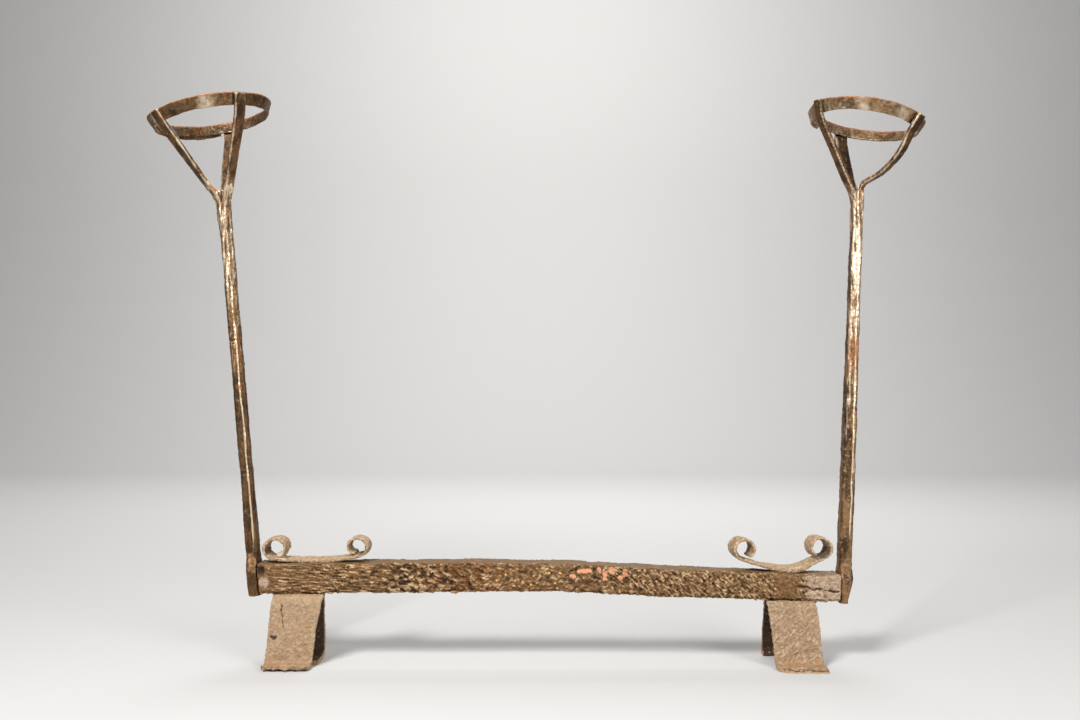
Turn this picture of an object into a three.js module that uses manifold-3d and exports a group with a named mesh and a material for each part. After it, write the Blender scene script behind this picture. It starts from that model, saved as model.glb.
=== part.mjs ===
// A wrought-iron hearth stand, or double firedog. A heavy bar lies on two feet of bent strap. An upright is
// welded to each end of the bar and opens at the top into three prongs, which hold a flared ring for a bowl.
// A scroll of thin strap is welded on the bar beside each upright.
// Millimetres, +Z up. X runs along the bar and -Y is the front, where the toes of the feet point.
import * as THREE from "three";
import { mergeVertices } from "three/addons/utils/BufferGeometryUtils.js";
import Module from "manifold-3d";

// ---- driving dimensions ----

const gap = 0.3; // left between pieces that touch, where the real ones are welded

const bar = {
  length: 583,
  depth: 30,
  heightLeft: 30,
  heightRight: 26.3,
  ease: 2.5, // its hammered corners
  axisHeight: 86.8, // of its left end over the floor
  rise: [0, 1, 1.2, -5.3, -9.1], // of its axis over the left end, at equal steps along it: it has sagged
};

const upright = {
  forkHeight: 478, // where the prongs part
  ease: 1.8,
  footDepth: 29, // front to back, where it meets the bar's end
  footSpread: 10, // height, over and under the bar's top, through which it spreads to that depth
  below: 2.5, // how far its end shows under the bar
  twistFrom: 20, // heights over the bar between which the shaft turns by its twist
  twistTo: 90,
  left: { outward: -1, lean: 4.8, stockFoot: 12.6, stockTop: 12.2, footEnd: 11.5, twist: 14, fork: 1.8 },
  right: { outward: 1, lean: 2.1, stockFoot: 13.4, stockTop: 10.8, footEnd: 8.5, twist: 0, fork: 0.4 },
};

// A ring's height is that of its top edge over the fork. Azimuths run from +X towards +Y.
const ring = {
  bandHeight: 13.5, // measured along the flared band
  bandThickness: 3,
  ease: 0.7,
  flare: 24, // degrees that the band opens upwards
  climb: 24, // degrees in which the outer end climbs over the inner one
  lapGap: 0.6, // between the two layers where the band's ends overlap
  lapRoom: [8, 20], // degrees before and after the lap in which a prong keeps clear of both layers
  left: {
    radius: 59, height: 82.8, offset: 3.2, tilt: 11.6, nod: 3.2,
    lapFrom: 102, lapTo: 174, droop: 1.8,
    kink: { azimuth: 200, reach: 6.5, spread: 26 }, // where the bend is tighter than a circle's
  },
  right: {
    radius: 56.4, height: 78.2, offset: 6, tilt: 11.8, nod: 1.4,
    lapFrom: 135, lapTo: 214, droop: 3.5,
    kink: { azimuth: -4, reach: 3, spread: 26 },
  },
};

// Azimuth is where the prong meets its ring, and width runs from its root to its tip. Leave is where it bends
// away from the shaft, over the fork's height. Belly bows it outwards and sway sideways.
const prong = {
  thickness: 4.2,
  ease: 0.8,
  root: 45, // how far its buried end reaches down the shaft, under where it leaves
  swell: 14, // over this length it stands out of the shaft more and more, before it leaves
  seat: 0.1, // extra room against the round of the band
  lowest: 3, // where it comes to the band, under the band's lower edge
  highest: 0.5, // how far its tip stays under the band's top edge
  bellyOut: 0.75, // how a belly is shared between outwards and downwards
  bellyDown: 0.6,
  widening: [0.35, 0.95], // shares of its length between which it goes from its root's width to its tip's
  turning: [0.45, 0.8], // shares between which it turns to lie flat on the band
  left: {
    frontLeft: { azimuth: 226, width: [10, 11.5], leave: -10, belly: 0, sway: 0 },
    frontRight: { azimuth: 312, width: [8.5, 11.5], leave: -18, belly: 0, sway: 0 },
    rear: { azimuth: 94, width: [8.5, 11], leave: -12, belly: 2, sway: 1 },
  },
  right: {
    frontLeft: { azimuth: 203, width: [9, 10], leave: -10, belly: 0, sway: 0 },
    frontRight: { azimuth: 316, width: [8.5, 12], leave: 5, belly: 8.5, sway: 0 },
    rear: { azimuth: 98, width: [7, 14], leave: -8, belly: 0, sway: 1 },
  },
};

const foot = {
  thickness: 5,
  ease: 1,
  frontY: -19.5, // centre of the front leg at the bar
  rearY: 19,
  shoulder: 5.5, // bend radius at the bar
  ankle: 6, // bend radius at the toe
  ankleY: -22.5,
  sweep: 0.7, // under 1, the front leg leans out mostly near the bar
  // Inset is from the bar's end to the middle of the strap. The toe and the heel stand outwards from there.
  left: {
    inset: 40.8, width: 51.5, taper: 4.5, toeOut: 9, heelOut: 7,
    toeY: -40, toeLift: 2, heelY: 26, heelBend: 17, endY: -11, corner: 5,
  },
  right: {
    inset: 50.6, width: 49.5, taper: 1, toeOut: 7.5, heelOut: 6,
    toeY: -44, toeLift: 0, heelY: 35, heelBend: 4, endY: 23, corner: 12,
  },
};

// Each arm of a scroll ends in a curl, which is placed by its centre: how far out it is from the weld, and
// how far up from the strap's seat on the bar.
const scroll = {
  width: 23,
  thickness: 3.4,
  tipThickness: 2.6,
  ease: 0.8,
  setBack: 3, // its centre behind the bar's
  beadLength: 18, // of the weld under it
  flat: 0.4, // share of an arm that lies along the bar before it lifts
  lead: 0.35, // share of an arm over which it bends into its curl
  left: {
    x: -233, bead: 0, skew: 0,
    tighten: 0.3, // the share by which a curl closes in towards its tip
    arms: [
      { out: 43.3, up: 12.4, wide: 12, high: 10.4, slope: 2, turn: 345 },
      { out: 38.6, up: 13.6, wide: 10.9, high: 9.4, slope: 5, turn: 345 },
    ],
  },
  right: {
    x: 243, bead: 1.6, skew: -5,
    tighten: 0.16,
    arms: [
      { out: 46.2, up: 18.3, wide: 10.6, high: 10.2, slope: 15, turn: 312 },
      { out: 30.3, up: 21.7, wide: 10.5, high: 10.4, slope: 17, turn: 312 },
    ],
  },
};

const wasm = await Module();
wasm.setup();

// ---- shaping ----

const mix = THREE.MathUtils.lerp;
const smooth = THREE.MathUtils.smoothstep;
const radians = THREE.MathUtils.degToRad;
const vector = (x, y, z) => new THREE.Vector3(x, y, z);

// A straight blank of unit size with eased corners, drawn out along z.
function blank(easeX, easeY, steps) {
  const corners = [
    [0.5 - easeX, -0.5],
    [0.5, -0.5 + easeY],
    [0.5, 0.5 - easeY],
    [0.5 - easeX, 0.5],
    [-0.5 + easeX, 0.5],
    [-0.5, 0.5 - easeY],
    [-0.5, -0.5 + easeY],
    [-0.5 + easeX, -0.5],
  ];
  const outline = new THREE.Shape(corners.map(([x, y]) => new THREE.Vector2(x, y)));
  return new THREE.ExtrudeGeometry(outline, { depth: 1, steps, bevelEnabled: false });
}

const evenShares = (steps) => Array.from({ length: steps + 1 }, (_, i) => i / steps);

// Bends the blank: station(u) gives the centre at share u of its length, and the vectors that its width and
// its thickness become there.
function forge({ width, thickness, ease, shares, station }) {
  const steps = shares.length - 1;
  const geometry = blank(ease / width, ease / thickness, steps);
  const position = geometry.getAttribute("position");
  const stations = shares.map(station);
  for (let i = 0; i < position.count; i++) {
    const { centre, across, through } = stations[Math.round(position.getZ(i) * steps)];
    const point = centre
      .clone()
      .addScaledVector(across, position.getX(i))
      .addScaledVector(through, position.getY(i));
    position.setXYZ(i, point.x, point.y, point.z);
  }
  return geometry;
}

// Turns a closed geometry into a solid that can be joined, whichever way its faces were wound.
function solidOf(geometry) {
  const bare = geometry.clone().deleteAttribute("normal").deleteAttribute("uv");
  const merged = mergeVertices(bare, 1e-3);
  const make = (triVerts) =>
    new wasm.Manifold(
      new wasm.Mesh({ numProp: 3, vertProperties: merged.attributes.position.array, triVerts }),
    );
  const triVerts = new Uint32Array(merged.index.array);
  const solid = make(triVerts);
  if (solid.volume() > 0) return solid;
  for (let i = 0; i < triVerts.length; i += 3)
    [triVerts[i + 1], triVerts[i + 2]] = [triVerts[i + 2], triVerts[i + 1]];
  return make(triVerts);
}

function geometryOf(solid) {
  const { vertProperties, triVerts } = solid.getMesh();
  const geometry = new THREE.BufferGeometry();
  geometry.setAttribute("position", new THREE.BufferAttribute(vertProperties, 3));
  geometry.setIndex(new THREE.BufferAttribute(triVerts, 1));
  geometry.computeVertexNormals();
  return geometry;
}

const forgedGeometry = (recipe) => geometryOf(solidOf(forge(recipe)));

// A line through corners that are rounded with their own bend radius.
function bentLine(corners) {
  const line = new THREE.Path();
  line.moveTo(corners[0].x, corners[0].y);
  for (let i = 1; i < corners.length - 1; i++) {
    const at = new THREE.Vector2(corners[i].x, corners[i].y);
    const back = new THREE.Vector2(corners[i - 1].x, corners[i - 1].y).sub(at);
    const on = new THREE.Vector2(corners[i + 1].x, corners[i + 1].y).sub(at);
    const bend = Math.PI - back.angleTo(on);
    const cut = Math.min(corners[i].bend * Math.tan(bend / 2), back.length() * 0.49, on.length() * 0.49);
    const start = at.clone().addScaledVector(back.normalize(), cut);
    const end = at.clone().addScaledVector(on.normalize(), cut);
    line.lineTo(start.x, start.y);
    line.quadraticCurveTo(at.x, at.y, end.x, end.y);
  }
  line.lineTo(corners.at(-1).x, corners.at(-1).y);
  return line;
}

// Shares of a bent line's length: close together round its bends, and wider apart on its straights.
function bentShares(line, perStraight, perBend) {
  const ends = line.getCurveLengths();
  const shares = [0];
  line.curves.forEach((curve, i) => {
    const from = i ? ends[i - 1] : 0;
    const count = curve.isLineCurve ? perStraight : perBend;
    for (let k = 1; k <= count; k++) shares.push(mix(from, ends[i], k / count) / ends.at(-1));
  });
  return shares;
}

// ---- the uprights' axes and the bar between them ----

const uprightSlope = (side) => upright[side].outward * Math.tan(radians(upright[side].lean));
const barEnds = { left: -bar.length / 2, right: bar.length / 2 };
const barEndHeights = { left: bar.axisHeight, right: bar.axisHeight + bar.rise.at(-1) };

// The upright's axis at a height over the floor. Its inner face touches the bar's end.
function uprightAxis(side, z) {
  const { outward, stockFoot, lean } = upright[side];
  const atBar = barEnds[side] + outward * (gap + stockFoot / 2 / Math.cos(radians(lean)));
  return vector(atBar + (z - barEndHeights[side]) * uprightSlope(side), 0, z);
}

const barRise = new THREE.SplineCurve(bar.rise.map((rise, i) => new THREE.Vector2(i, rise)));
const barShare = (x) => (x - barEnds.left) / bar.length;
const barAxis = (x) => bar.axisHeight + barRise.getPoint(barShare(x)).y;
const barHeight = (x) => mix(bar.heightLeft, bar.heightRight, barShare(x));
const barTop = (x) => barAxis(x) + barHeight(x) / 2;
const barUnderside = (x) => barAxis(x) - barHeight(x) / 2;

function makeBar() {
  return forgedGeometry({
    width: bar.depth,
    thickness: bar.heightLeft,
    ease: bar.ease,
    shares: evenShares(28),
    station(u) {
      const x = mix(barEnds.left, barEnds.right, u);
      const height = barHeight(x);
      // Each end is cut to the lean of its upright.
      const lean = mix(uprightSlope("left"), uprightSlope("right"), u);
      return {
        centre: vector(x, 0, barAxis(x)),
        across: vector(0, bar.depth, 0),
        through: vector(lean * height, 0, height),
      };
    },
  });
}

// ---- the rings ----

// The ring's frame: its origin is the centre of the top edge, and it leans outwards with its upright.
function ringPose(side) {
  const { outward } = upright[side];
  const { height, offset, tilt, nod } = ring[side];
  const pose = new THREE.Object3D();
  pose.position.copy(uprightAxis(side, upright.forkHeight + height));
  pose.position.x += outward * offset;
  pose.rotation.set(radians(nod), radians(outward * tilt), 0);
  pose.updateMatrix();
  return pose;
}

// A point on the band's middle surface, in the ring's frame. Slant is measured down the band from its top
// edge, and out is across the band's thickness.
function bandPoint(side, azimuth, slant, out) {
  const flare = radians(ring.flare);
  const { radius: nominal, kink } = ring[side];
  const fromKink = THREE.MathUtils.euclideanModulo(azimuth - kink.azimuth + 180, 360) - 180;
  const top = nominal + kink.reach * Math.exp(-((fromKink / kink.spread) ** 2)) - ring.bandThickness / 2;
  const radius = top - slant * Math.sin(flare) + out * Math.cos(flare);
  const drop = slant * Math.cos(flare) + out * Math.sin(flare);
  const angle = radians(azimuth);
  return vector(radius * Math.cos(angle), radius * Math.sin(angle), -drop);
}

function makeRing(side) {
  const { lapFrom, lapTo, droop } = ring[side];
  const total = 360 + lapTo - lapFrom;
  return forgedGeometry({
    width: ring.bandHeight,
    thickness: ring.bandThickness,
    ease: ring.ease,
    shares: evenShares(66),
    station(u) {
      // The inner end is at lapTo, and the band goes round from there to the outer end at lapFrom.
      const travelled = u * total;
      const azimuth = lapTo - travelled;
      const out = smooth(travelled, 360 - ring.climb, 358) * (ring.bandThickness + ring.lapGap);
      // The outer layer hangs lower than the inner one in the middle of the lap.
      const slide = Math.sin(Math.PI * smooth(travelled, 350, total + 10)) * droop;
      const top = bandPoint(side, azimuth, slide, out);
      const bottom = bandPoint(side, azimuth, slide + ring.bandHeight, out);
      const outer = bandPoint(side, azimuth, slide, out + ring.bandThickness);
      return {
        centre: top.clone().add(bottom).multiplyScalar(0.5),
        across: top.clone().sub(bottom),
        through: outer.sub(top),
      };
    },
  });
}

// ---- the uprights with their prongs ----

function makeShaft(side) {
  const { outward, lean, stockFoot, stockTop, footEnd, twist } = upright[side];
  const top = barTop(barEnds[side]);
  const bottom = barUnderside(barEnds[side]) - upright.below;
  const spreadShare = (top + upright.footSpread - bottom) / (upright.forkHeight - bottom);
  const footShares = evenShares(9).map((u) => u * spreadShare);
  const shaftShares = evenShares(17).slice(1).map((u) => mix(spreadShare, 1, u));
  return forge({
    width: stockFoot,
    thickness: stockFoot,
    ease: upright.ease,
    shares: [...footShares, ...shaftShares],
    station(u) {
      const z = mix(bottom, upright.forkHeight, u);
      const spread = 1 - smooth(z, top - upright.footSpread, top + upright.footSpread);
      const stock = mix(stockFoot, stockTop, smooth(z, top, upright.forkHeight));
      const turn = radians(twist) * smooth(z, top + upright.twistFrom, top + upright.twistTo);
      // The end under the bar is drawn in on its outer side.
      const drawn = (stockFoot - footEnd) * (1 - smooth(z, bottom, top));
      const width = (stock - drawn) / Math.cos(radians(lean));
      const depth = mix(stock, upright.footDepth, spread);
      return {
        centre: uprightAxis(side, z).add(vector((-outward * drawn) / 2, 0, 0)),
        across: vector(Math.cos(turn), Math.sin(turn), 0).multiplyScalar(width),
        through: vector(-Math.sin(turn), Math.cos(turn), 0).multiplyScalar(depth),
      };
    },
  });
}

// Whether a prong at this azimuth bears on the doubled part of the band.
function onLap(side, azimuth) {
  const [before, after] = ring.lapRoom;
  return azimuth > ring[side].lapFrom - before && azimuth < ring[side].lapTo + after;
}

// A prong leaves the shaft, bows out and lies against the outside of the ring's band up to its top edge.
function makeProng(side, { azimuth, width: [rootWidth, tipWidth], leave, belly, sway }) {
  const pose = ringPose(side);
  const layers = onLap(side, azimuth) ? ring.bandThickness + ring.lapGap : 0;
  const out = layers + ring.bandThickness / 2 + gap + prong.seat + prong.thickness / 2;
  const onBand = (slant) => bandPoint(side, azimuth, slant, out).applyMatrix4(pose.matrix);
  const top = onBand(prong.highest);
  const low = onBand(ring.bandHeight + prong.lowest);
  const leaveHeight = upright.forkHeight + leave;
  const heading = low.clone().sub(uprightAxis(side, leaveHeight)).setZ(0).normalize();
  const sideways = vector(-heading.y, heading.x, 0);
  const alongBand = bandPoint(side, azimuth + 2, 0, out)
    .sub(bandPoint(side, azimuth - 2, 0, out))
    .transformDirection(pose.matrix);
  const reach = upright[side].stockTop / 2 - prong.thickness / 2;
  const inShaft = (z, proud) => uprightAxis(side, z).addScaledVector(heading, reach + proud);
  const leaving = inShaft(leaveHeight, upright[side].fork);
  const chord = low.clone().sub(leaving);
  const bowed = (share) => {
    const bow = Math.sin(Math.PI * share);
    return leaving
      .clone()
      .addScaledVector(chord, share)
      .addScaledVector(heading, belly * bow * prong.bellyOut)
      .addScaledVector(sideways, sway * bow)
      .add(vector(0, 0, -belly * bow * prong.bellyDown));
  };
  const start = inShaft(leaveHeight - prong.root, -prong.ease);
  const swelling = inShaft(leaveHeight - prong.swell, upright[side].fork * 0.8);
  const line = new THREE.CatmullRomCurve3(
    [start, swelling, leaving, bowed(0.3), bowed(0.65), low, top],
    false,
    "centripetal",
  );
  return forge({
    width: rootWidth,
    thickness: prong.thickness,
    ease: prong.ease,
    shares: evenShares(22),
    station(u) {
      const along = line.getTangentAt(u);
      const edge = sideways.clone().lerp(alongBand, smooth(u, ...prong.turning)).normalize();
      const through = along.clone().cross(edge).normalize().multiplyScalar(prong.thickness);
      const across = edge.multiplyScalar(mix(rootWidth, tipWidth, smooth(u, ...prong.widening)));
      return { centre: line.getPointAt(u), across, through };
    },
  });
}

function makeUpright(side) {
  let whole = solidOf(makeShaft(side));
  for (const one of Object.values(prong[side])) whole = whole.add(solidOf(makeProng(side, one)));
  return geometryOf(whole);
}

// ---- the feet ----

// One strap, bent up from the toe, over under the bar and down to the heel, where its end turns in.
function makeFoot(side) {
  const { outward } = upright[side];
  const { inset, width, taper, toeOut, heelOut, toeY, toeLift, heelY, heelBend, endY, corner } = foot[side];
  const middle = barEnds[side] - outward * inset;
  const half = foot.thickness / 2;
  const top = barUnderside(middle) - gap - half;
  const line = bentLine([
    { x: toeY, y: half + toeLift },
    { x: foot.ankleY, y: half, bend: foot.ankle },
    { x: foot.frontY, y: top, bend: foot.shoulder },
    { x: foot.rearY, y: top, bend: foot.shoulder },
    { x: heelY, y: half, bend: heelBend },
    { x: endY, y: half },
  ]);
  const length = line.getLength();
  const inCorner = [0.15, 0.35, 0.6, 1].map((share) => (share * corner) / length);
  const shares = [...bentShares(line, 2, 6), ...inCorner].sort((a, b) => a - b);
  const strap = forge({
    width,
    thickness: foot.thickness,
    ease: foot.ease,
    shares,
    station(u) {
      const { x: y, y: z } = line.getPointAt(u);
      const along = line.getTangentAt(u);
      const toeward = y < 0 && u < 0.5 ? Math.max(1 - z / top, 0) ** foot.sweep : 0;
      const heelward = smooth(y, foot.frontY, foot.rearY) * (u < 0.5 ? 1 - toeward : 1);
      // The toe's inner corner is worn round.
      const fromToe = Math.min((u * length) / (corner + foot.ease / 2), 1);
      const worn = corner * (1 - Math.sqrt(1 - (1 - fromToe) ** 2));
      const out = toeOut * toeward + heelOut * (u < 0.5 ? heelward : 1) + worn / 2;
      return {
        centre: vector(middle + outward * out, y, z),
        across: vector(width - taper * toeward - worn, 0, 0),
        through: vector(0, -along.y, along.x).multiplyScalar(foot.thickness),
      };
    },
  });
  // The strap's top follows the slope of the bar that rests on it.
  const position = strap.getAttribute("position");
  for (let i = 0; i < position.count; i++) {
    const slope = (barUnderside(position.getX(i)) - gap) / (barUnderside(middle) - gap);
    position.setZ(i, position.getZ(i) * slope);
  }
  return geometryOf(solidOf(strap));
}

// ---- the scrolls ----

// One arm of a scroll, from the weld outwards: it lifts off the bar and then curls up and over.
function scrollArm({ out, up, wide, high, slope, turn }, tighten, outward) {
  const curlSteps = 30;
  const round = (i) => {
    const angle = radians(slope - 90 + (turn * i) / curlSteps);
    const tighter = 1 - tighten * (i / curlSteps) ** 2;
    return new THREE.Vector2(
      out + wide * tighter * Math.cos(angle),
      up + high * tighter * Math.sin(angle),
    );
  };
  const low = round(0);
  const before = low.clone().sub(round(1)).setLength(low.x * scroll.lead);
  const run = new THREE.CubicBezierCurve(
    new THREE.Vector2(0, 0),
    new THREE.Vector2(low.x * scroll.flat, 0),
    low.clone().add(before),
    low,
  ).getPoints(10);
  for (let i = 1; i <= curlSteps; i++) run.push(round(i));
  return run.map(({ x, y }) => new THREE.Vector2(outward * x, y));
}

function makeScroll(side) {
  const { x: weldX, arms, bead, skew, tighten } = scroll[side];
  const leftArm = scrollArm(arms[0], tighten, -1).reverse();
  const rightArm = scrollArm(arms[1], tighten, 1);
  const line = new THREE.CatmullRomCurve3(
    [...leftArm, ...rightArm.slice(1)].map(({ x, y }) => {
      const seat = barTop(weldX + x) + gap + scroll.thickness / 2;
      return vector(weldX + x, scroll.setBack, seat + bead + y);
    }),
  );
  line.arcLengthDivisions = 600;
  return forgedGeometry({
    width: scroll.width,
    thickness: scroll.thickness,
    ease: scroll.ease,
    shares: evenShares(72),
    station(u) {
      const centre = line.getPointAt(u);
      const along = line.getTangentAt(u);
      const welded = Math.exp(-(((centre.x - weldX) / scroll.beadLength) ** 4)) * (along.x > 0.7 ? 1 : 0);
      const thickness = mix(scroll.tipThickness, scroll.thickness, Math.sin(Math.PI * u)) + bead * welded;
      centre.z -= (bead * welded) / 2;
      return {
        centre,
        across: vector(Math.sin(radians(skew)), Math.cos(radians(skew)), 0).multiplyScalar(scroll.width),
        through: vector(-along.z, 0, along.x).multiplyScalar(thickness),
      };
    },
  });
}

// ---- the object ----

const finishes = {
  patinated: new THREE.MeshStandardMaterial({ color: 0x5a4a3a, roughness: 0.7, metalness: 0.6 }),
  rubbed: new THREE.MeshStandardMaterial({ color: 0x6b5c4a, roughness: 0.5, metalness: 0.8 }),
  dusty: new THREE.MeshStandardMaterial({ color: 0x8a7560, roughness: 0.85, metalness: 0.3 }),
};

function piece(name, geometry, finish, pose) {
  const mesh = new THREE.Mesh(geometry, finishes[finish]);
  mesh.name = name;
  if (pose) {
    mesh.position.copy(pose.position);
    mesh.rotation.copy(pose.rotation);
  }
  return mesh;
}

const stand = new THREE.Group();
stand.add(piece("hearth_bar", makeBar(), "patinated"));
for (const side of ["left", "right"]) {
  stand.add(piece(`${side}_upright`, makeUpright(side), "rubbed"));
  stand.add(piece(`${side}_ring`, makeRing(side), "rubbed", ringPose(side)));
  stand.add(piece(`${side}_foot`, makeFoot(side), "dusty"));
  stand.add(piece(`${side}_scroll`, makeScroll(side), "dusty"));
}

// The origin is on the floor, under the middle of the whole stand.
const extent = new THREE.Box3().setFromObject(stand, true);
const middle = extent.getCenter(new THREE.Vector3());
stand.position.set(-middle.x, -middle.y, -extent.min.z);

export default stand;
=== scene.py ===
import math

import bpy
import numpy as np
from mathutils import Euler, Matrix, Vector, noise


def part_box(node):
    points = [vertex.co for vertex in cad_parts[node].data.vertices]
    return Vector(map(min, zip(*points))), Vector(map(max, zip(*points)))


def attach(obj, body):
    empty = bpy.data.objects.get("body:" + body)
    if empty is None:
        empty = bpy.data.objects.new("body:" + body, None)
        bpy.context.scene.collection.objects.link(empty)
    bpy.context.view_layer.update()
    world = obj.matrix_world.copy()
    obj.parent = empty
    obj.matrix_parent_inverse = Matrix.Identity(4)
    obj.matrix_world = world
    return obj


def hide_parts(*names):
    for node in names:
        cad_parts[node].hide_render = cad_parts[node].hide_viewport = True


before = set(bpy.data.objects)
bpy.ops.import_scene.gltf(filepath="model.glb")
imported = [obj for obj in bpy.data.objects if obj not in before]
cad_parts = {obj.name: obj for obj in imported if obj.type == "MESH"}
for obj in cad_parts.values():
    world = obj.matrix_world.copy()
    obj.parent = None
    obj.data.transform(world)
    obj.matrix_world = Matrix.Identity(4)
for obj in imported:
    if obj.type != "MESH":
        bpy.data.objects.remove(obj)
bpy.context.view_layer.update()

mm = 0.001
coarser = 1.0
weightLevels = 32


def selectOnly(piece):
    bpy.ops.object.select_all(action="DESELECT")
    piece.select_set(True)
    bpy.context.view_layer.objects.active = piece


def applyLast(piece):
    selectOnly(piece)
    bpy.ops.object.modifier_apply(modifier=piece.modifiers[-1].name)


def vectorsOf(mesh, name):
    flat = np.empty(len(mesh.vertices) * 3)
    mesh.vertices.foreach_get(name, flat)
    return flat.reshape(-1, 3)


def boxOf(node):
    return [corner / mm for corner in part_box(node)]


# Shapes of weights, for arrays of places in mm.


def rise(values, low, high):
    share = np.clip((values - low) / (high - low), 0, 1)
    return share * share * (3 - 2 * share)


def between(values, low, high, soft):
    return rise(values, low - soft, low + soft) * (1 - rise(values, high - soft, high + soft))


def bump(values, width):
    return np.exp(-((values / width) ** 2))


def waver(values, size, seed):
    return np.array([noise.noise(Vector((value / size, seed, 0.5))) for value in values])


# A dense skin with the node's own form, ready to be struck.
def skinOf(node, grain):
    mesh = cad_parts[node].data.copy()
    mesh.materials.clear()
    piece = bpy.data.objects.new(node + "_iron", mesh)
    bpy.context.scene.collection.objects.link(piece)
    selectOnly(piece)
    bpy.ops.object.mode_set(mode="EDIT")
    bpy.ops.mesh.select_all(action="SELECT")
    bpy.ops.mesh.remove_doubles(threshold=0.02 * mm)
    bpy.ops.object.mode_set(mode="OBJECT")
    remesh = piece.modifiers.new("skin", "REMESH")
    remesh.mode = "VOXEL"
    remesh.voxel_size = grain * coarser * mm
    applyLast(piece)
    return piece


def note(piece, name, values):
    attribute = piece.data.attributes.new(name, "FLOAT", "POINT")
    attribute.data.foreach_set("value", values.astype(np.float32))


def noted(piece, name):
    values = np.empty(len(piece.data.vertices), np.float32)
    piece.data.attributes[name].data.foreach_get("value", values)
    return values


# Notes how far each place stands out of the softened form, which is high on arrises, and
# remembers the form.
def rememberForm(piece, rounds):
    soften = piece.modifiers.new("soften", "SMOOTH")
    soften.factor = 0.5
    soften.iterations = max(int(rounds / coarser), 1)
    evaluated = piece.evaluated_get(bpy.context.evaluated_depsgraph_get())
    softened = vectorsOf(evaluated.data, "co")
    places = vectorsOf(piece.data, "co")
    facing = vectorsOf(piece.data, "normal")
    piece.modifiers.remove(soften)
    note(piece, "edge", ((places - softened) * facing).sum(axis=1) / mm)
    return {"places": places / mm, "facing": facing}


# A vertex group holding the weights, rounded to levels so that it fills quickly.
def zone(piece, weights):
    group = piece.vertex_groups.new(name="zone")
    levels = np.clip(np.round(weights * weightLevels), 0, weightLevels).astype(int)
    for level in range(1, weightLevels + 1):
        members = np.flatnonzero(levels == level)
        if len(members):
            group.add(members.tolist(), level / weightLevels, "REPLACE")
    return group.name


# Pushes the skin in, or out where the depth is negative, as far as the weights say.
def press(piece, depth, weights):
    displace = piece.modifiers.new("press", "DISPLACE")
    displace.vertex_group = zone(piece, weights)
    displace.strength = -depth * mm
    displace.mid_level = 0
    applyLast(piece)
    piece.vertex_groups.clear()


# Strikes a pattern into the skin. Size and depth are in mm, proud is the share of the depth that
# stands out, and turn is in degrees. Shift slides the pattern, so that two strikes differ.
def strike(piece, blow, weights=None):
    texture = bpy.data.textures.new("blow", "CLOUDS")
    texture.noise_scale = blow["size"] * mm
    texture.noise_depth = blow.get("detail", 2)
    texture.noise_type = "HARD_NOISE" if blow.get("hard") else "SOFT_NOISE"
    texture.contrast = blow.get("contrast", 1.8)
    texture.intensity = 1.15 if blow.get("hard") else 1.0
    guide = bpy.data.objects.new("guide", None)
    bpy.context.scene.collection.objects.link(guide)
    guide.location = blow.get("shift", (0, 0, 0))
    guide.rotation_euler = Euler([math.radians(turn) for turn in blow.get("turn", (0, 0, 0))])
    guide.scale = blow.get("stretch", (1, 1, 1))
    bpy.context.view_layer.update()
    displace = piece.modifiers.new("strike", "DISPLACE")
    displace.texture = texture
    displace.texture_coords = "OBJECT"
    displace.texture_coords_object = guide
    displace.strength = blow["depth"] * mm
    displace.mid_level = 1 - blow.get("proud", 0.1)
    if weights is not None:
        displace.vertex_group = zone(piece, weights)
    applyLast(piece)
    piece.vertex_groups.clear()
    bpy.data.objects.remove(guide)
    bpy.data.textures.remove(texture)


# How far each place has come out of the remembered form.
def reliefOf(piece, form):
    moved = vectorsOf(piece.data, "co") / mm - form["places"]
    return (moved * form["facing"]).sum(axis=1)


def finishPiece(piece, node, material):
    selectOnly(piece)
    bpy.ops.object.shade_smooth()
    piece.data.materials.append(material)
    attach(piece, "root")
    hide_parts(node)
    triangles = sum(len(polygon.vertices) - 2 for polygon in piece.data.polygons)
    print(node, "is done, with", triangles, "triangles")


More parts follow.
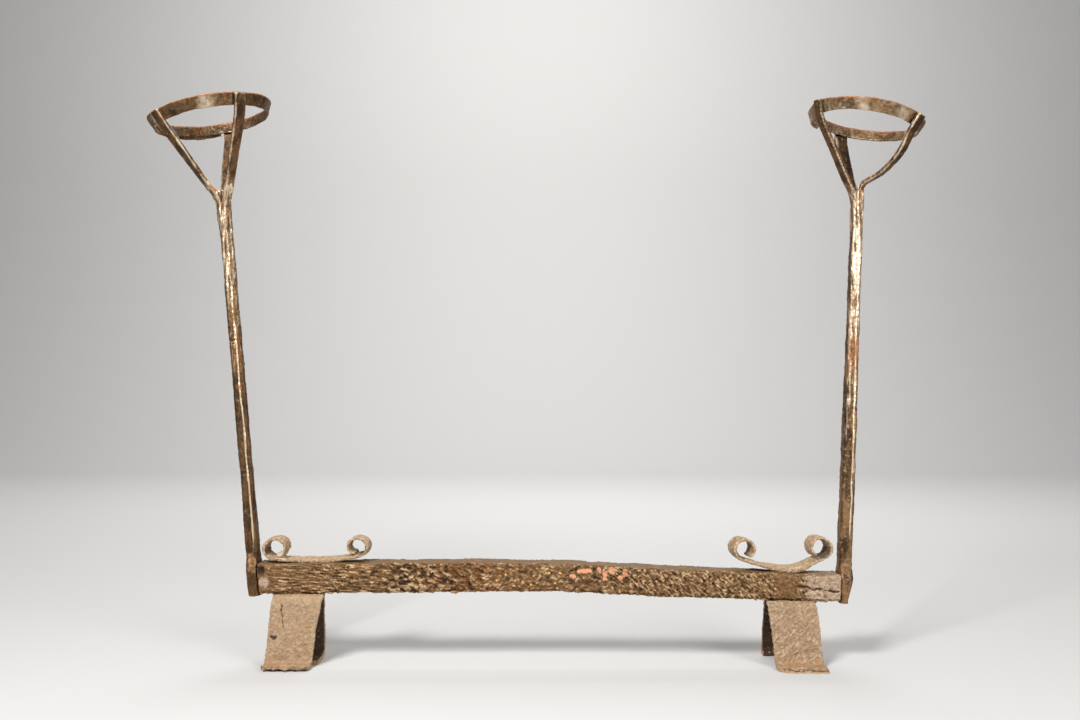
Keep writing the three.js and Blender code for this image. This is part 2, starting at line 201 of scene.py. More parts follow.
# The nodes of one material, with sizes in mm.
class nodeKit:
    def __init__(self, name):
        self.material = bpy.data.materials.new(name)
        self.material.use_nodes = True
        self.tree = self.material.node_tree
        self.shader = self.tree.nodes["Principled BSDF"]
        self.places = self.add("ShaderNodeTexCoord").outputs["Object"]

    def add(self, kind, **inputs):
        node = self.tree.nodes.new(kind)
        for name, value in inputs.items():
            self.plug(node.inputs[name], value)
        return node

    def plug(self, socket, value):
        if isinstance(value, bpy.types.NodeSocket):
            self.tree.links.new(value, socket)
        else:
            socket.default_value = value

    def clouds(self, size, detail=3.0, stretch=(1, 1, 1), shift=(0, 0, 0)):
        mapping = self.add("ShaderNodeMapping", Vector=self.places)
        mapping.inputs["Scale"].default_value = [1 / (size * mm * way) for way in stretch]
        mapping.inputs["Location"].default_value = shift
        cloud = self.add("ShaderNodeTexNoise", Vector=mapping.outputs["Vector"], Detail=detail)
        cloud.inputs["Scale"].default_value = 1.0
        cloud.inputs["Roughness"].default_value = 0.55
        return cloud.outputs["Fac"]

    def attribute(self, name):
        node = self.add("ShaderNodeAttribute")
        node.attribute_name = name
        return node.outputs["Fac"]

    # 0 up to low, and 1 from high on; low may be the larger one.
    def spread(self, value, low, high):
        node = self.add("ShaderNodeMapRange", Value=value)
        node.interpolation_type = "SMOOTHSTEP"
        node.inputs["From Min"].default_value = low
        node.inputs["From Max"].default_value = high
        return node.outputs["Result"]

    def math(self, operation, first, second):
        node = self.add("ShaderNodeMath")
        node.operation = operation
        self.plug(node.inputs[0], first)
        self.plug(node.inputs[1], second)
        return node.outputs[0]

    def times(self, first, *others):
        for other in others:
            first = self.math("MULTIPLY", first, other)
        return first

    def most(self, first, *others):
        for other in others:
            first = self.math("MAXIMUM", first, other)
        return first

    # The value, with noise of this strength added to it.
    def frayed(self, value, cloud, strength):
        return self.math("ADD", value, self.times(self.math("SUBTRACT", cloud, 0.5), strength))

    def colours(self, factor, first, second):
        node = self.add("ShaderNodeMix")
        node.data_type = "RGBA"
        self.plug(node.inputs[0], factor)
        for socket, colour in ((node.inputs[6], first), (node.inputs[7], second)):
            self.plug(socket, colour if isinstance(colour, bpy.types.NodeSocket) else (*colour, 1))
        return node.outputs[2]

    def numbers(self, factor, first, second):
        node = self.add("ShaderNodeMix")
        self.plug(node.inputs[0], factor)
        self.plug(node.inputs[2], first)
        self.plug(node.inputs[3], second)
        return node.outputs[0]

    def facing(self, letter):
        normal = self.add("ShaderNodeNewGeometry").outputs["Normal"]
        return self.add("ShaderNodeSeparateXYZ", Vector=normal).outputs[letter]

    def finish(self, colour, roughness, metallic, height, depth):
        grain = self.add("ShaderNodeBump", Height=height)
        grain.inputs["Distance"].default_value = depth * mm
        grain.inputs["Strength"].default_value = 1.0
        self.plug(self.shader.inputs["Base Color"], colour)
        self.plug(self.shader.inputs["Roughness"], roughness)
        self.plug(self.shader.inputs["Metallic"], metallic)
        self.tree.links.new(grain.outputs["Normal"], self.shader.inputs["Normal"])
        return self.material


rubbed = {
    "dark": (0.040, 0.020, 0.008),
    "brown": (0.120, 0.060, 0.021),
    "tan": (0.26, 0.152, 0.070),
    "bright": (0.78, 0.63, 0.45),
    "beige": (0.42, 0.29, 0.175),
    "rust": (0.32, 0.108, 0.024),
}


# Brown iron, rubbed bright in streaks where it is noted as polished, with rust along some arrises.
# Painted highlights are noted with the polish, and so they are painted bright too.
def rubbedIron(name, seed, streaky):
    kit = nodeKit(name)
    edge = kit.attribute("edge")
    relief = kit.attribute("relief")
    polishAndHighlights = kit.attribute("polishAndHighlights")
    rim = kit.attribute("rim")
    pale = kit.attribute("pale")
    broad = kit.clouds(9, 4, stretch=(1, 1, 2.5), shift=(seed, 0, 0))
    patches = kit.clouds(24, 3, stretch=(1, 1, 2), shift=(0, seed, 0))
    fine = kit.clouds(1.8, 4, shift=(0, 0, seed))
    colour = kit.colours(kit.spread(broad, 0.42, 0.58), rubbed["dark"], rubbed["brown"])
    beige = kit.spread(kit.clouds(4, 5, shift=(seed, 2, 2)), 0.55, 0.68)
    colour = kit.colours(kit.times(beige, pale, 0.7), colour, rubbed["beige"])
    colour = kit.colours(kit.times(kit.spread(patches, 0.44, 0.62), pale, 0.8), colour, rubbed["tan"])
    colour = kit.colours(kit.times(kit.spread(fine, 0.5, 0.7), pale, 0.7), colour, rubbed["tan"])
    colour = kit.colours(kit.times(kit.spread(polishAndHighlights, 0.2, 0.8), 0.45), colour, rubbed["tan"])
    pits = kit.spread(kit.frayed(relief, fine, 0.3), -0.1, -0.4)
    colour = kit.colours(kit.times(pits, 0.6), colour, rubbed["dark"])
    if streaky:
        streaks = kit.times(kit.clouds(3.2, 3, stretch=(1, 1, 7), shift=(3, seed, 0)), 2.4)
        shining = (1.7, 2.2)
    else:
        streaks = kit.times(kit.clouds(9, 4, shift=(3, seed, 0)), 1.1)
        shining = (1.0, 1.7)
    wear = kit.frayed(edge, kit.clouds(6, 4, stretch=(1, 1, 4), shift=(7, seed, 1)), 0.4)
    # painted highlights noted with the polish come out bright here, with the rubbed arrises and flats
    arris = kit.times(kit.spread(wear, 0.06, 0.24), kit.spread(polishAndHighlights, 0.02, 0.2), 0.85)
    flats = kit.times(kit.spread(kit.math("ADD", polishAndHighlights, streaks), *shining), 0.85)
    wearAndHighlights = kit.most(arris, flats)
    colour = kit.colours(wearAndHighlights, colour, rubbed["bright"])
    rustWhere = kit.clouds(13, 4, shift=(seed, seed, 0))
    rust = kit.times(kit.spread(edge, 0.08, 0.24), kit.spread(rustWhere, 0.48, 0.6), 0.7)
    rusty = kit.times(rim, kit.spread(kit.clouds(6, 4, shift=(1, seed, 4)), 0.3, 0.42), 0.9)
    spots = kit.times(kit.spread(kit.clouds(6, 4, shift=(seed, 3, 0)), 0.61, 0.69), 0.7)
    rust = kit.most(rust, rusty, spots)
    colour = kit.colours(rust, colour, rubbed["rust"])
    roughness = kit.numbers(wearAndHighlights, kit.numbers(fine, 0.4, 0.6), 0.32)
    metallic = kit.numbers(rust, 0.7, 0.25)
    height = kit.math("ADD", fine, kit.times(kit.clouds(0.6, 3), 0.4))
    return kit.finish(colour, roughness, metallic, height, 0.25)


strap = {
    "clay": (0.31, 0.205, 0.118),
    "pale": (0.49, 0.36, 0.228),
    "ridge_highlight": (0.60, 0.47, 0.32),
    "pink": (0.34, 0.208, 0.122),
    "ochre": (0.36, 0.24, 0.118),
    "grime": (0.17, 0.105, 0.05),
    "soot_and_shade": (0.045, 0.024, 0.010),
    "rust": (0.40, 0.195, 0.075),
}


# Strap under dust: matt clay colours, painted shade inside, crinkles darker in their hollows and
# painted highlights on their ridges, rusty at the toe.
def dustyStrap(name, look):
    kit = nodeKit(name)
    seed = look["seed"]
    edge = kit.attribute("edge")
    relief = kit.attribute("relief")
    inside = kit.attribute("inside")
    rusting = kit.attribute("rusting")
    broad = kit.clouds(13, 4, shift=(seed, 0, 0))
    fine = kit.clouds(1.7, 4, shift=(0, 0, seed))
    mottled = kit.clouds(5, 5, shift=(seed, 6, 2))
    colour = kit.colours(kit.spread(broad, 0.4, 0.6), strap["clay"], strap["pink"])
    ochreWhere = kit.spread(kit.clouds(9, 4, shift=(seed, 1, 1)), 0.42, 0.58)
    colour = kit.colours(kit.times(ochreWhere, look["ochre"]), colour, strap["ochre"])
    colour = kit.colours(kit.times(kit.spread(mottled, 0.42, 0.66), 0.5), colour, strap["pale"])
    colour = kit.colours(kit.times(kit.spread(fine, 0.5, 0.7), 0.4), colour, strap["pale"])
    grimy = kit.spread(kit.clouds(6, 5, shift=(seed, 4, 3)), 0.48, 0.64)
    colour = kit.colours(kit.times(grimy, look["grime"]), colour, strap["grime"])
    # the crinkles are painted darker in their hollows, and painted highlights go on their ridges
    height = kit.frayed(relief, fine, 0.25)
    hollows = kit.times(kit.spread(height, -0.12, -0.5), look["crinkled"])
    colour = kit.colours(hollows, colour, strap["grime"])
    ridges = kit.times(kit.spread(height, -0.05, 0.2), look["crinkled"], 1.3)
    colour = kit.colours(ridges, colour, strap["ridge_highlight"])
    colour = kit.colours(kit.times(kit.spread(edge, 0.04, 0.24), 0.8), colour, strap["pale"])
    rust = kit.times(kit.spread(kit.clouds(7, 5, shift=(0, seed, 0)), 0.6, 0.7), 0.5)
    toeRust = kit.times(rusting, kit.spread(kit.clouds(5, 4, shift=(0, seed, 7)), 0.42, 0.58), 0.5)
    rust = kit.most(rust, toeRust)
    colour = kit.colours(rust, colour, strap["rust"])
    pits = kit.times(kit.spread(kit.frayed(relief, fine, 0.4), -0.95, -1.5), 0.9)
    specks = kit.times(kit.spread(kit.clouds(2.4, 3, shift=(seed, 0, 5)), 0.64, 0.74), 0.55)
    # painted shade on the inner faces of the foot's arch and the scroll's curls
    paintedShade = kit.times(inside, kit.spread(kit.clouds(3, 4, shift=(2, seed, 0)), 0.72, 0.58), 0.93)
    dirtAndShade = kit.most(pits, specks, paintedShade)
    colour = kit.colours(dirtAndShade, colour, strap["soot_and_shade"])
    roughness = kit.numbers(fine, 0.6, 0.9)
    metallic = kit.numbers(dirtAndShade, 0.15, 0.35)
    grain = kit.math("ADD", fine, kit.times(kit.clouds(0.7, 3), 0.5))
    return kit.finish(colour, roughness, metallic, grain, 0.4)


pitted = {
    "deep": (0.028, 0.013, 0.005),
    "brown": (0.132, 0.064, 0.019),
    "ridge": (0.240, 0.134, 0.054),
    "crest": (0.58, 0.405, 0.235),
    "dust": (0.18, 0.104, 0.045),
    "salmon": (0.62, 0.29, 0.155),
    "orange": (0.70, 0.32, 0.10),
    "rust": (0.18, 0.072, 0.018),
    "bloom": (0.46, 0.34, 0.235),
}


# Corroded iron: dark in its pits and tan on its ridges, dust on top, and patches that are noted on it.
# Its crests and arrises are worn, and are also given painted highlights.
def pittedIron():
    kit = nodeKit("pitted iron")
    relief = kit.attribute("relief")
    upward = kit.spread(kit.facing("Z"), 0.5, 0.85)
    broad = kit.clouds(15, 4)
    fine = kit.clouds(1.3, 5)
    height = kit.frayed(relief, fine, 0.7)
    colour = kit.colours(kit.spread(height, -1.0, -0.3), pitted["deep"], pitted["brown"])
    colour = kit.colours(kit.spread(height, -0.35, 0.4), colour, pitted["ridge"])
    # the crest colour, on the highest ridges and the arrises, is worn iron with a painted highlight
    colour = kit.colours(kit.times(kit.spread(height, 0.3, 0.75), 0.65), colour, pitted["crest"])
    colour = kit.colours(kit.times(kit.spread(broad, 0.45, 0.62), 0.45), colour, pitted["brown"])
    edge = kit.frayed(kit.attribute("edge"), kit.clouds(4, 4, stretch=(3, 1, 1)), 1.0)
    arris = kit.spread(edge, 0.3, 0.8)
    onEnd = kit.times(kit.spread(kit.attribute("bloom"), 0.5, 0.7), 0.45)
    colour = kit.colours(kit.times(arris, kit.math("ADD", onEnd, 0.42)), colour, pitted["crest"])
    rusty = kit.spread(kit.clouds(8, 4, shift=(4, 0, 0)), 0.42, 0.56)
    colour = kit.colours(kit.times(kit.attribute("rusting"), rusty, 0.8), colour, pitted["rust"])
    bloom = kit.frayed(kit.attribute("bloom"), kit.clouds(4, 4, shift=(0, 9, 0)), 1.2)
    bloom = kit.spread(bloom, 0.4, 0.85)
    colour = kit.colours(kit.times(bloom, kit.spread(height, -0.9, -0.1), 0.75), colour, pitted["bloom"])
    dust = kit.times(upward, kit.spread(kit.clouds(6, 4, stretch=(3, 1, 1)), 0.66, 0.4), 0.85)
    colour = kit.colours(dust, colour, pitted["dust"])
    torn = kit.clouds(3.4, 4, shift=(11, 0, 2))
    salmon = kit.spread(kit.frayed(kit.attribute("salmon"), torn, 1.2), 0.42, 0.5)
    colour = kit.colours(kit.times(salmon, 0.92), colour, pitted["salmon"])
    orange = kit.spread(kit.frayed(kit.attribute("orange"), torn, 0.9), 0.45, 0.65)
    colour = kit.colours(orange, colour, pitted["orange"])
    roughness = kit.numbers(kit.spread(height, -0.6, 0.1), 0.75, 0.42)
    matt = kit.most(dust, salmon, orange)
    roughness = kit.numbers(matt, roughness, 0.85)
    metallic = kit.numbers(kit.most(matt, bloom), 0.45, 0.1)
    grain = kit.math("ADD", fine, kit.times(kit.clouds(0.6, 3), 0.45))
    return kit.finish(colour, roughness, metallic, grain, 0.4)


# Along is the share of the bar's length and up the share of its height, and wide and high are in mm.
# Where gives stretches along the bar: from, to, how softly they end, and how strong they are.
bar = {
    "grain": 0.66,
    "softening": 14,
    "kept": 0.52,
    "steps": 40,
    "dents": {"size": 20, "depth": 1.2, "proud": 0.5, "detail": 1},
    "scale": {"size": 1.8, "depth": 0.7, "proud": 0.5, "contrast": 2.0},
    "nicks": {"size": 4, "depth": 1.2, "proud": 0.3, "contrast": 2.2},
    "ripples": {
        "size": 2.2, "depth": 1.0, "proud": 0.5, "stretch": (2.4, 1, 1), "turn": (0, -35, 0),
        "where": [(0.14, 0.88, 0.05, 1)],
    },
    "fibres": {
        "size": 1.6, "depth": 1.55, "proud": 0.45, "contrast": 2.0,
        "stretch": (6, 1, 1), "turn": (0, 3, 0),
        "where": [(0.02, 0.24, 0.04, 1)],
    },
    "pits": {
        "size": 3.0, "depth": 2.7, "proud": 0.45, "contrast": 2.1,
        "stretch": (1.7, 1, 1), "turn": (0, 28, 0),
        "where": [(0.22, 0.39, 0.03, 1), (0.38, 0.64, 0.04, 0.5), (0.9, 0.99, 0.02, 0.3)],
    },
    "strokes": {
        "size": 1.9, "depth": 2.0, "proud": 0.52, "contrast": 2.0,
        "stretch": (2.6, 1, 1), "turn": (0, 42, 0),
        "where": [(0.59, 0.89, 0.03, 1), (0.10, 0.16, 0.03, 0.45)],
    },
    "wrinkles": {
        "size": 1.5, "depth": 1.0, "proud": 0.5, "contrast": 2.0,
        "stretch": (3, 1, 1), "turn": (0, 62, 0),
        "where": [(0.91, 0.99, 0.015, 1)],
    },
    "crack": {"from": 0.925, "to": 0.998, "up": 0.476, "falling": 1.6, "high": 0.03, "deep": 1.2},
    "hollow": {"along": 0.006, "up": 0.8, "wide": 0.006, "high": 0.13, "deep": 2.2},
    "swollenEnds": 0.35,
    "salmon": [
        {"along": 0.562, "up": 0.78, "wide": 8.5, "high": 2.6},
        {"along": 0.541, "up": 0.58, "wide": 3.4, "high": 2.8},
        {"along": 0.586, "up": 0.85, "wide": 2.6, "high": 2.2},
        {"along": 0.595, "up": 0.66, "wide": 2.6, "high": 6.0},
        {"along": 0.608, "up": 0.84, "wide": 4.4, "high": 3.4},
        {"along": 0.622, "up": 0.60, "wide": 2.6, "high": 2.6},
        {"along": 0.630, "up": 0.76, "wide": 2.8, "high": 5.2},
    ],
    "orange": [
        {"along": 0.426, "up": 0.60}, {"along": 0.474, "up": 0.57}, {"along": 0.500, "up": 0.67},
        {"along": 0.411, "up": 0.40}, {"along": 0.469, "up": 0.27}, {"along": 0.510, "up": 0.33},
        {"along": 0.519, "up": 0.68}, {"along": 0.514, "up": 0.14}, {"along": 0.455, "up": 0.37},
        {"along": 0.440, "up": 0.22}, {"along": 0.887, "up": 0.42},
    ],
    "dotSize": 1.5,
    "rusting": [(0.29, 0.42, 0.04, 0.9), (0.875, 0.915, 0.02, 0.5)],
    "rustyEdge": [(0.29, 0.72, 0.04, 1)],
    "bloomFrom": (0.915, 0.95),
}


def makeBar():
    low, high = boxOf("hearth_bar")
    length = high.x - low.x
    piece = skinOf("hearth_bar", bar["grain"])
    strike(piece, bar["dents"])
    form = rememberForm(piece, bar["softening"])
    places = form["places"]
    facing = form["facing"]
    along = (places[:, 0] - low.x) / length
    bottom, top = barEdges(places, low, high)
    up = (places[:, 2] - bottom) / (top - bottom)
    front = rise(-facing[:, 1], 0.2, 0.6)
    back = rise(facing[:, 1], 0.2, 0.6)
    under = rise(-facing[:, 2], 0.3, 0.7)

    strike(piece, bar["scale"])
    for mark in ("ripples", "fibres", "pits", "strokes", "wrinkles"):
        strike(piece, bar[mark], front * stretches(along, bar[mark]["where"]))
    strike(piece, {**bar["pits"], "depth": 1.8, "shift": (0.2, 0, 0)}, back)
    strike(piece, {**bar["pits"], "depth": 1.5, "shift": (0.4, 0, 0)}, under)
    strike(piece, bar["nicks"], rise(noted(piece, "edge"), 0.15, 0.4) * between(along, 0.02, 0.98, 0.02))
    crack = bar["crack"]
    line = crack["up"] + waver(places[:, 0], 6, 1.5) * 0.14
    line -= crack["falling"] * (along - (crack["from"] + crack["to"]) / 2)
    cracked = bump(up - line, crack["high"]) * between(along, crack["from"], crack["to"], 0.006)
    press(piece, crack["deep"], cracked * front)
    hollow = bar["hollow"]
    hollowed = bump(along - hollow["along"], hollow["wide"]) * bump(up - hollow["up"], hollow["high"])
    press(piece, hollow["deep"], hollowed * front)
    # both ends close up to the uprights
    press(piece, -bar["swollenEnds"], rise(np.abs(facing[:, 0]), 0.6, 0.9))

    note(piece, "salmon", front * patchesAt(bar["salmon"], along, up, length, top - bottom))
    note(piece, "orange", front * patchesAt(bar["orange"], along, up, length, top - bottom))
    lowerEdge = stretches(along, bar["rustyEdge"]) * (1 - rise(up, 0.1, 0.32))
    note(piece, "rusting", np.maximum(lowerEdge, stretches(along, bar["rusting"])))
    rightEnd = rise(along, *bar["bloomFrom"]) * 0.75
    leftEnd = bump(along - 0.012, 0.012) * bump(up - 0.38, 0.3)
    note(piece, "bloom", np.maximum(rightEnd, leftEnd))
    note(piece, "relief", reliefOf(piece, form))
    # the front keeps its facets, and the other sides give up some of theirs
    thin = piece.modifiers.new("thin out", "DECIMATE")
    thin.vertex_group = zone(piece, 1 - front)
    thin.vertex_group_factor = 8
    thin.ratio = bar["kept"]
    applyLast(piece)
    piece.vertex_groups.clear()
    finishPiece(piece, "hearth_bar", pittedIron())


# The heights of the bar's lower and upper edges at each place. It sags, so they are taken at many steps.
def barEdges(places, low, high):
    steps = np.linspace(low.x, high.x, bar["steps"] + 1)
    slots = np.clip(np.digitize(places[:, 0], steps) - 1, 0, bar["steps"] - 1)
    heights = [places[slots == slot, 2] for slot in range(bar["steps"])]
    centres = (steps[1:] + steps[:-1]) / 2
    bottom = np.interp(places[:, 0], centres, [some.min() for some in heights])
    top = np.interp(places[:, 0], centres, [some.max() for some in heights])
    return bottom, top


def stretches(along, where):
    return np.clip(sum(share * between(along, low, high, soft) for low, high, soft, share in where), 0, 1)


def patchesAt(patches, along, up, length, height):
    most = np.zeros(len(along))
    for patch in patches:
        across = (along - patch["along"]) * length / patch.get("wide", bar["dotSize"])
        over = (up - patch["up"]) * height / patch.get("high", bar["dotSize"])
        most = np.maximum(most, np.exp(-(across**2 + over**2)))
    return most


# Heights are in mm over the floor. A seam runs down from the fork, and a glint, a painted highlight
# on a slightly raised ridge, runs down the front's right-hand arris.
upright = {
    "grain": 0.75,
    "softening": 10,
    "facets": {"size": 9, "depth": 0.7, "proud": 0.5, "detail": 1, "stretch": (1, 1, 6)},
    "hammer": {"size": 5, "depth": 0.7, "proud": 0.5, "detail": 1, "stretch": (1, 1, 4)},
    "scale": {"size": 2.2, "depth": 0.6, "proud": 0.4, "stretch": (1, 1, 1.6)},
    "forkUnderRing": 58,
    "straightFrom": 130,
    "seamWide": 1.1,
    "glintWide": 0.9,
    "glintProud": 0.3,
    "rust": {"at": 316, "reach": 16},
    "cut": {"underFork": 152, "high": 0.9, "deep": 0.9},
    "left": {
        "seed": 2.0,
        "seam": {"length": 104, "deep": 1.4, "aside": 0.6},
        "glint": (3.0, 1.6),
        "pale": (0.25, 0.7),
        "polish": {"from": 240, "to": 450, "most": 0.70},
        "rusty": 0.25,
    },
    "right": {
        "seed": 5.0,
        "seam": {"length": 60, "deep": 0.9, "aside": -0.8},
        "glint": (3.4, 0.8),
        "pale": (1.0, 0.8),
        "polish": {"from": 120, "to": 420, "most": 0.78},
        "rusty": 0.6,
    },
}


def makeUpright(side):
    node = side + "_upright"
    own = upright[side]
    fork = boxOf(side + "_ring")[0].z - upright["forkUnderRing"]
    piece = skinOf(node, upright["grain"])
    struck = 1 - 0.75 * rise(vectorsOf(piece.data, "co")[:, 2] / mm, fork - 4, fork + 14)
    strike(piece, upright["facets"], struck)
    form = rememberForm(piece, upright["softening"])
    across, _, height = form["places"].T
    front = np.clip(-form["facing"][:, 1] * 1.5, 0, 1)
    strike(piece, upright["hammer"], struck)
    strike(piece, upright["scale"], 0.35 + 0.65 * struck)
    # the seam between the forged prongs runs on down the shaft
    straight = between(height, upright["straightFrom"], fork - 10, 1) > 0.5
    slope, start = np.polyfit(height[straight], across[straight], 1)
    middle = start + slope * height
    seam = own["seam"]
    seamAt = middle + seam["aside"] + waver(height, 22, own["seed"]) * 1.6
    seamed = between(height, fork - seam["length"], fork + 14, 6) * front
    press(piece, seam["deep"], bump(across - seamAt, upright["seamWide"]) * seamed)
    if side == "left":
        cut = upright["cut"]
        cutAt = fork - cut["underFork"] + waver(across, 5, 4.5) * 2
        press(piece, cut["deep"], bump(height - cutAt, cut["high"]) * front * (across < middle + 2))
    # the glint is a painted highlight, noted with the polish so that it comes out bright
    glintAt = middle + np.interp(height, (110, fork - 40), own["glint"])
    glintAt += waver(height, 30, own["seed"] + 1)
    glint = bump(across - glintAt, upright["glintWide"]) * front * between(height, 125, fork - 20, 12)
    press(piece, -upright["glintProud"], glint)
    polish = rise(height, own["polish"]["from"], own["polish"]["to"]) * own["polish"]["most"]
    polish *= (0.35 + 0.65 * front) * (1 - 0.75 * rise(height, fork, fork + 18))
    note(piece, "polishAndHighlights", np.maximum(polish, glint * 1.3))
    pale = np.interp(height, (240, 340), own["pale"])
    note(piece, "pale", pale * (1 - 0.8 * rise(height, fork, fork + 12)))
    rust = upright["rust"]
    note(piece, "rim", front * bump(height - rust["at"], rust["reach"]) * own["rusty"])
    note(piece, "relief", reliefOf(piece, form))
    finishPiece(piece, node, rubbedIron(side + " upright iron", own["seed"], True))


# Bright lists painted highlights on each ring, as turns in degrees round it and their sizes.
ring = {
    "grain": 0.61,
    "softening": 8,
    "bends": {"size": 14, "depth": 0.7, "proud": 0.0, "detail": 1},
    "scale": {"size": 2.8, "depth": 0.5, "proud": 0.1},
    "nicks": {"size": 5.0, "depth": 0.9, "proud": 0.0, "hard": True},
    "rimHigh": (1.4, 2.6),
    "sectors": 72,
    "left": {
        "seed": 8.0, "polish": 0.26, "pale": 0.5,
        "bright": [{"turn": 285, "size": 14}, {"turn": 225, "size": 18}],
    },
    "right": {
        "seed": 11.0, "polish": 0.55, "pale": 1.0,
        "bright": [{"turn": 295, "size": 18}, {"turn": 248, "size": 14}],
    },
}


def makeRing(side):
    node = side + "_ring"
    own = ring[side]
    low, high = boxOf(node)
    centre = (low + high) / 2
    piece = skinOf(node, ring["grain"])
    strike(piece, ring["bends"])
    form = rememberForm(piece, ring["softening"])
    places = form["places"]
    edge = rise(noted(piece, "edge"), 0.1, 0.25)
    strike(piece, ring["scale"])
    strike(piece, ring["nicks"], edge)
    polish = np.full(len(places), own["polish"])
    turns = np.degrees(np.arctan2(places[:, 1] - centre.y, places[:, 0] - centre.x))
    # the bright patches are painted highlights, noted with the polish
    for patch in own["bright"]:
        away = (turns - patch["turn"] + 180) % 360 - 180
        polish = np.maximum(polish, bump(away, patch["size"]) * 0.8)
    note(piece, "polishAndHighlights", polish)
    note(piece, "pale", np.full(len(places), own["pale"]))
    # the ring tilts, so its top is found sector by sector
    slots = np.clip(((turns + 180) * ring["sectors"] / 360).astype(int), 0, ring["sectors"] - 1)
    tops = np.array([places[slots == slot, 2].max() for slot in range(ring["sectors"])])
    note(piece, "rim", 1 - rise(tops[slots] - places[:, 2], *ring["rimHigh"]))
    note(piece, "relief", reliefOf(piece, form))
    finishPiece(piece, node, rubbedIron(side + " ring iron", own["seed"], False))


foot = {
    "grain": 0.78,
    "softening": 12,
    "swell": {"size": 18, "depth": 1.0, "proud": 0.3, "detail": 1},
    "sand": {"size": 2.2, "depth": 1.0, "proud": 0.35, "detail": 2},
    "scratches": {"size": 1.9, "depth": 0.9, "proud": 0.35, "stretch": (4, 1, 1), "turn": (0, -50, 0)},
    "nicks": {"size": 5.0, "depth": 1.5, "proud": 0.1, "hard": True},
    "ragged": {"size": 4.5, "depth": 3.0, "proud": 0.0, "contrast": 2.4},
    "toeHigh": 14,
    "crack": {"across": 0.305, "from": 39, "to": 63, "wide": 0.7, "deep": 1.5},
    "pit": {"across": 0.16, "up": 31, "wide": 3.8, "high": 1.7, "deep": 2.5},
    "left": {"seed": 14.0, "ochre": 0.35, "grime": 0.15, "crinkled": 0.16, "scratched": 0.3},
    "right": {"seed": 17.0, "ochre": 0.1, "grime": 0.1, "crinkled": 0.38, "scratched": 0.8},
}


def makeFoot(side):
    node = side + "_foot"
    own = foot[side]
    low, high = boxOf(node)
    barLow, barHigh = boxOf("hearth_bar")
    middle = (barLow.y + barHigh.y) / 2
    piece = skinOf(node, foot["grain"])
    clear = rise(vectorsOf(piece.data, "co")[:, 2] / mm, 1.0, 3.0)  # the soles stay on the floor
    strike(piece, foot["swell"], clear)
    _, depths, heights = vectorsOf(piece.data, "co").T / mm
    nearToe = 1 - rise(depths, low.y + 2, low.y + 7)
    strike(piece, foot["ragged"], nearToe * (heights < foot["toeHigh"]) * rise(heights, 0.2, 1.2))
    form = rememberForm(piece, foot["softening"])
    places = form["places"]
    facing = form["facing"]
    strike(piece, foot["sand"], clear)
    strike(piece, foot["scratches"], rise(-facing[:, 1], 0.2, 0.6) * clear * own["scratched"])
    strike(piece, foot["nicks"], rise(noted(piece, "edge"), 0.12, 0.3) * clear)
    toe = 1 - rise(places[:, 1], low.y + 2, low.y + 7)
    if side == "left":
        crackFoot(piece, low, high, form)
    # the inner faces of the arch are noted, to be given painted shade
    inward = (places - [0, middle, 30]) * facing
    inArch = (places[:, 1] > barLow.y - 6) * (np.abs(facing[:, 0]) < 0.7)
    note(piece, "inside", rise(-(inward[:, 1] + inward[:, 2] * 0.6), 1.0, 6.0) * inArch)
    note(piece, "rusting", np.maximum(1 - rise(places[:, 2], 5, 12), toe))
    material = dustyStrap(side + " foot strap", own)
    note(piece, "relief", reliefOf(piece, form))
    finishPiece(piece, node, material)


# A short crack and a pit in the left foot's face.
def crackFoot(piece, low, high, form):
    x, _, z = form["places"].T
    front = rise(-form["facing"][:, 1], 0.1, 0.5)
    width = high.x - low.x
    crack = foot["crack"]
    line = low.x + width * crack["across"] + waver(z, 6, 3.5) * 2.4
    cracked = bump(x - line, crack["wide"]) * between(z, crack["from"], crack["to"], 2)
    press(piece, crack["deep"], cracked * front)
    pit = foot["pit"]
    aside = (x - low.x - width * pit["across"]) / pit["wide"]
    over = (z - pit["up"] - waver(x, 3, 6.5) * 2) / pit["high"]
    press(piece, pit["deep"], np.exp(-(aside**2) - over**2) * front)


scroll = {
    "grain": 0.6,
    "softening": 8,
    "curl": 6,
    "lump": {"along": 19, "up": 7, "wide": 3.2, "high": 2.4, "proud": 1.7},
    "swell": {"size": 11, "depth": 1.0, "proud": 0.5, "detail": 1},
    "sand": {"size": 2.3, "depth": 0.9, "proud": 0.4},
    "nicks": {"size": 4.0, "depth": 1.3, "proud": 0.3, "hard": True},
    "left": {"seed": 20.0, "ochre": 0.8, "grime": 0.3, "crinkled": 0.5},
    "right": {"seed": 23.0, "ochre": 0.8, "grime": 0.3, "crinkled": 0.5},
}


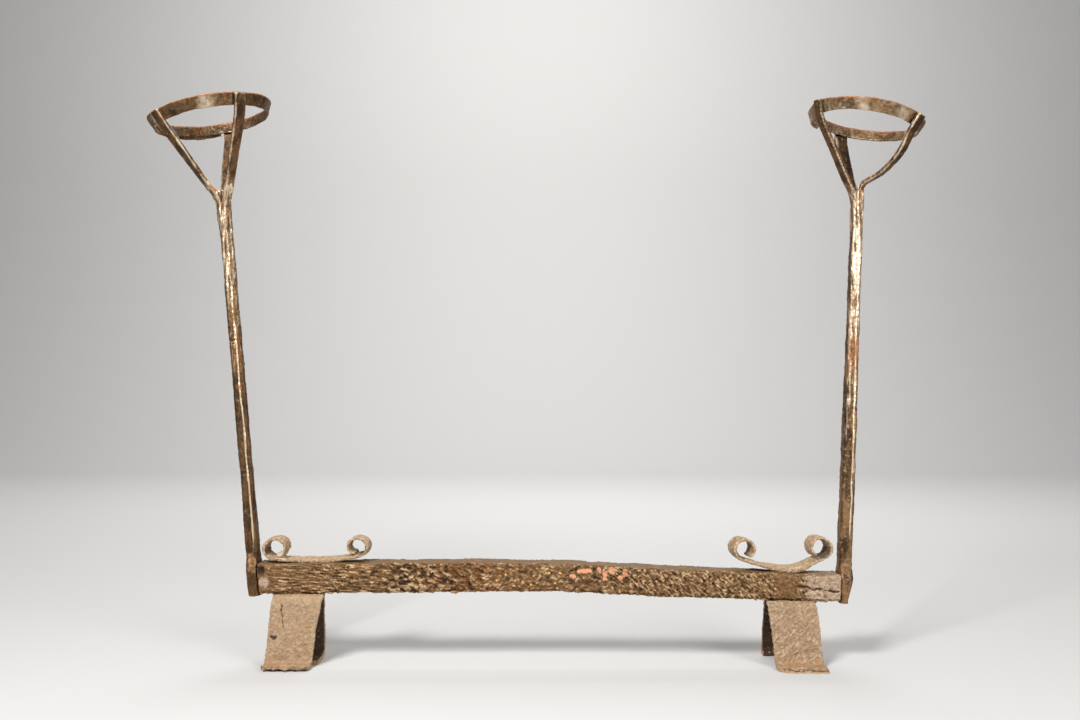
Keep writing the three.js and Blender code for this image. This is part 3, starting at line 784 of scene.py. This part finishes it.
def makeScroll(side):
    node = side + "_scroll"
    low, high = boxOf(node)
    piece = skinOf(node, scroll["grain"])
    strike(piece, scroll["swell"])
    form = rememberForm(piece, scroll["softening"])
    x, _, z = form["places"].T
    strike(piece, scroll["sand"])
    strike(piece, scroll["nicks"], rise(noted(piece, "edge"), 0.1, 0.28))
    # its underside is welded down on the bar
    press(piece, -0.4, rise(-form["facing"][:, 2], 0.7, 0.9) * (1 - rise(z, low.z + 4, low.z + 6)))
    if side == "left":
        lump = scroll["lump"]
        aside = (x - low.x - lump["along"]) / lump["wide"]
        over = (z - low.z - lump["up"]) / lump["high"]
        press(piece, -lump["proud"], np.exp(-(aside**2) - over**2))
    # the inner faces of the curls are noted, to be given painted shade
    inside = np.zeros(len(x))
    for centre in (low.x + scroll["curl"], high.x - scroll["curl"]):
        near = (np.abs(x - centre) < scroll["curl"] + 1) * (z > low.z + 8)
        inward = (x - centre) * form["facing"][:, 0] + (z - high.z + scroll["curl"]) * form["facing"][:, 2]
        inside = np.maximum(inside, near * rise(-inward, 0.5, 3))
    note(piece, "inside", inside * 0.8)
    note(piece, "rusting", np.zeros(len(x)))
    material = dustyStrap(side + " scroll strap", scroll[side])
    note(piece, "relief", reliefOf(piece, form))
    finishPiece(piece, node, material)


makeBar()
for side in ("left", "right"):
    makeUpright(side)
    makeRing(side)
    makeFoot(side)
    makeScroll(side)

studio = {
    "wide": 16.0,
    "front": -6.0,
    "back": 2.6,
    "bend": 1.4,
    "high": 5.0,
    "floorColour": (0.58, 0.57, 0.555),
    "airColour": (0.80, 0.81, 0.83),
    "airStrength": 0.36,
    "target": (0, 0, 0.25),
    "lamps": [
        {"name": "key", "at": (-0.55, -1.05, 1.3), "size": 0.4, "power": 31},
        {"name": "fill", "at": (0.95, -1.2, 0.8), "size": 0.6, "power": 13},
        {"name": "rim", "at": (0.3, 1.3, 1.5), "size": 1.0, "power": 9},
        {"name": "backdrop", "at": (0, 1.5, 2.6), "to": (0, 4, 0.9), "size": 1.8, "power": 80},
    ],
}


def setStudio():
    # the floor bends up into a plain backdrop
    arc = [math.radians(turn) for turn in range(0, 91, 5)]
    back, bend = studio["back"], studio["bend"]
    profile = [(studio["front"], 0)]
    profile += [(back + bend * math.sin(turn), bend * (1 - math.cos(turn))) for turn in arc]
    profile += [(back + bend, studio["high"])]
    half = studio["wide"] / 2
    corners = [(side, y, z) for y, z in profile for side in (-half, half)]
    strips = [(2 * step, 2 * step + 1, 2 * step + 3, 2 * step + 2) for step in range(len(profile) - 1)]
    mesh = bpy.data.meshes.new("floor")
    mesh.from_pydata(corners, [], strips)
    floor = bpy.data.objects.new("floor", mesh)
    bpy.context.scene.collection.objects.link(floor)
    selectOnly(floor)
    bpy.ops.object.shade_smooth()
    kit = nodeKit("floor")
    kit.shader.inputs["Base Color"].default_value = (*studio["floorColour"], 1)
    kit.shader.inputs["Roughness"].default_value = 0.9
    floor.data.materials.append(kit.material)
    world = bpy.data.worlds.new("air")
    world.use_nodes = True
    background = world.node_tree.nodes["Background"]
    background.inputs["Color"].default_value = (*studio["airColour"], 1)
    background.inputs["Strength"].default_value = studio["airStrength"]
    bpy.context.scene.world = world
    bpy.context.scene.view_settings.view_transform = "Standard"
    for lamp in studio["lamps"]:
        data = bpy.data.lights.new(lamp["name"], "AREA")
        data.size = lamp["size"]
        data.energy = lamp["power"]
        light = bpy.data.objects.new(lamp["name"], data)
        light.location = lamp["at"]
        aim = Vector(lamp.get("to", studio["target"])) - light.location
        light.rotation_euler = aim.to_track_quat("-Z", "Y").to_euler()
        bpy.context.scene.collection.objects.link(light)
    print("the studio is set")


view = {"lens": 33.33, "distance": 1.015, "aside": -0.009, "height": 0.264, "rise": 0.0389}


def setCamera():
    low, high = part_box("hearth_bar")
    middle = (low + high) / 2
    data = bpy.data.cameras.new("camera")
    data.lens = view["lens"]
    data.sensor_width = 36
    data.shift_y = view["rise"]
    data.clip_start = 0.05
    camera = bpy.data.objects.new("camera", data)
    camera.location = (middle.x + view["aside"], middle.y - view["distance"], view["height"])
    camera.rotation_euler = (math.radians(90), 0, 0)
    bpy.context.scene.collection.objects.link(camera)
    bpy.context.scene.camera = camera
    print("the camera is set")


setStudio()
setCamera()
